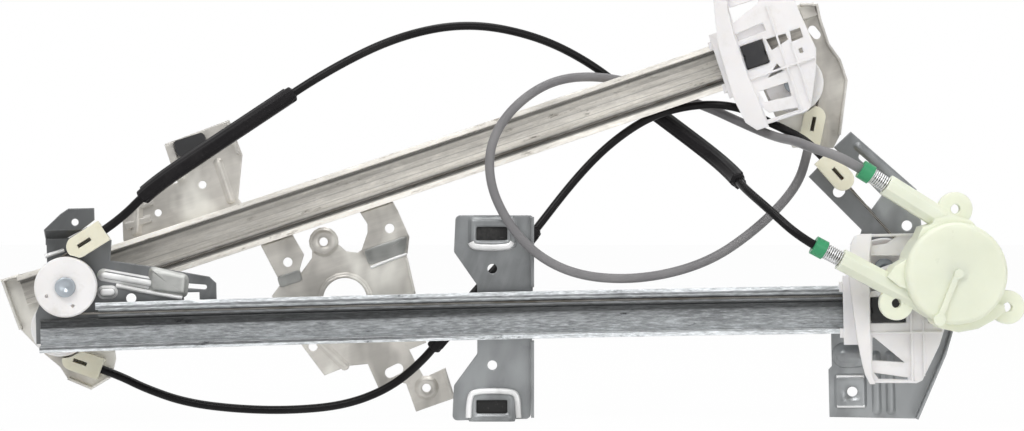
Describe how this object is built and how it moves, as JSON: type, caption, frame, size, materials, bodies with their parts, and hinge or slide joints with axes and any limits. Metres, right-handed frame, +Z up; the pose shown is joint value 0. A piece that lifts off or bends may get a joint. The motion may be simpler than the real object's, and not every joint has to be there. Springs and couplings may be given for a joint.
{
  "type": "window regulator",
  "caption": "Cable window regulator for a vehicle door: two bowed rails with end brackets, glass carriers, pulleys, conduits and a cable drum housing.",
  "frame": {"origin": "midway between the two bolt holes of the middle bracket, on its back face", "axes": "+X along the lower rail towards the cable drum, +Z up as pictured, +Y away from the glass side"},
  "size_m": [0.5964, 0.1166, 0.268],
  "materials": {
    "rail_zinc": "zinc plated, greased",
    "rail_light_zinc": "zinc plated, light",
    "bracket_dark": "zinc plated, dull",
    "bracket_light": "zinc plated, light",
    "buffer_rubber": "matt",
    "clip_plastic": "satin",
    "carrier_plastic": "satin, natural white",
    "block_plastic": "satin",
    "cable_steel": "greased wire rope",
    "housing_plastic": "satin, natural cream",
    "drum_plastic": "satin",
    "cap_plastic": "satin green",
    "spring_steel": "bright",
    "conduit_black": "satin",
    "conduit_grey": "satin",
    "sleeve_rubber": "matt",
    "rivet_steel": "satin",
    "pulley_plastic": "satin, natural white",
    "holder_plastic": "satin cream"
  },
  "bodies": {
    "rails_and_brackets": {"bracket_sleeve": "sleeve_rubber", "conduit_clip": "clip_plastic", "conduit_holder_a_left": "holder_plastic", "conduit_holder_a_right": "holder_plastic", "conduit_holder_b_left": "holder_plastic", "conduit_holder_b_right": "holder_plastic", "cross_conduit": "conduit_black", "drum_cable": "cable_steel", "drum_cover": "housing_plastic", "drum_housing": "housing_plastic", "left_bracket_a": "bracket_dark", "left_bracket_b": "bracket_light", "long_sleeve": "sleeve_rubber", "lower_cap": "cap_plastic", "lower_inlet_conduit": "conduit_black", "lower_spring": "spring_steel", "mid_bracket": "bracket_dark", "mid_bracket_buffers": "buffer_rubber", "motor_plate": "bracket_light", "pulley_rivet_a_left": "rivet_steel", "pulley_rivet_a_right": "rivet_steel", "pulley_rivet_b_left": "rivet_steel", "pulley_rivet_b_right": "rivet_steel", "rail_a": "rail_zinc", "rail_b": "rail_light_zinc", "rail_cable_a": "cable_steel", "rail_cable_b": "cable_steel", "rear_sleeve": "sleeve_rubber", "right_bracket_a": "bracket_dark", "right_bracket_b": "bracket_light", "upper_bracket_b": "bracket_light", "upper_cap": "cap_plastic", "upper_inlet_conduit": "conduit_grey", "upper_spring": "spring_steel"},
    "carrier_a": {"carrier_a": "carrier_plastic", "cable_block_a": "block_plastic"},
    "carrier_b": {"carrier_b": "carrier_plastic", "cable_block_b": "block_plastic"},
    "cable_drum": {"cable_drum": "drum_plastic"},
    "pulley_a_left": {"pulley_a_left": "pulley_plastic"},
    "pulley_a_right": {"pulley_a_right": "pulley_plastic"},
    "pulley_b_left": {"pulley_b_left": "pulley_plastic"},
    "pulley_b_right": {"pulley_b_right": "pulley_plastic"}
  },
  "joints": [
    {"name": "carrier_a_travel", "type": "hinge", "parent": "rails_and_brackets", "child": "carrier_a", "pos_m": [0, -1.3015, 0.0014], "axis": [-0.0227, 0, 0.9997], "range_deg": [0, 16.75]},
    {"name": "carrier_b_travel", "type": "hinge", "parent": "rails_and_brackets", "child": "carrier_b", "pos_m": [-0.057, -1.266, 0.0857], "axis": [-0.3156, 0, 0.9489], "range_deg": [0, 16.75], "deforming": ["upper_inlet_conduit"]},
    {"name": "pulley_a_left_turn", "type": "hinge", "parent": "rails_and_brackets", "child": "pulley_a_left", "pos_m": [-0.24692, -0.03322, 0.0194], "axis": [-0.1907, 0.9816, -0.0043], "range_deg": [-5, 1375]},
    {"name": "pulley_a_right_turn", "type": "hinge", "parent": "rails_and_brackets", "child": "pulley_a_right", "pos_m": [0.22827, -0.02993, 0.03019], "axis": [0.1771, 0.9842, 0.004], "range_deg": [-5, 1375]},
    {"name": "pulley_b_left_turn", "type": "hinge", "parent": "rails_and_brackets", "child": "pulley_b_left", "pos_m": [-0.26021, 0.00678, -0.00677], "axis": [-0.1631, 0.9851, -0.0542], "range_deg": [-1375, 5]},
    {"name": "pulley_b_right_turn", "type": "hinge", "parent": "rails_and_brackets", "child": "pulley_b_right", "pos_m": [0.18152, 0.00284, 0.14017], "axis": [0.1788, 0.9821, 0.0595], "range_deg": [-1375, 5]},
    {"name": "cable_drum_turn", "type": "hinge", "parent": "rails_and_brackets", "child": "cable_drum", "pos_m": [0.259, -0.0635, 0.0285], "axis": [0, 1, 0], "range_deg": [-966, 5]}
  ],
  "couplings": [
    {"joint": "carrier_b_travel", "follows": "carrier_a_travel", "ratio": 1},
    {"joint": "pulley_a_left_turn", "follows": "carrier_a_travel", "ratio": 81.772},
    {"joint": "pulley_a_right_turn", "follows": "carrier_a_travel", "ratio": 81.772},
    {"joint": "pulley_b_left_turn", "follows": "carrier_a_travel", "ratio": -81.772},
    {"joint": "pulley_b_right_turn", "follows": "carrier_a_travel", "ratio": -81.772},
    {"joint": "cable_drum_turn", "follows": "carrier_a_travel", "ratio": -57.422}
  ]
}
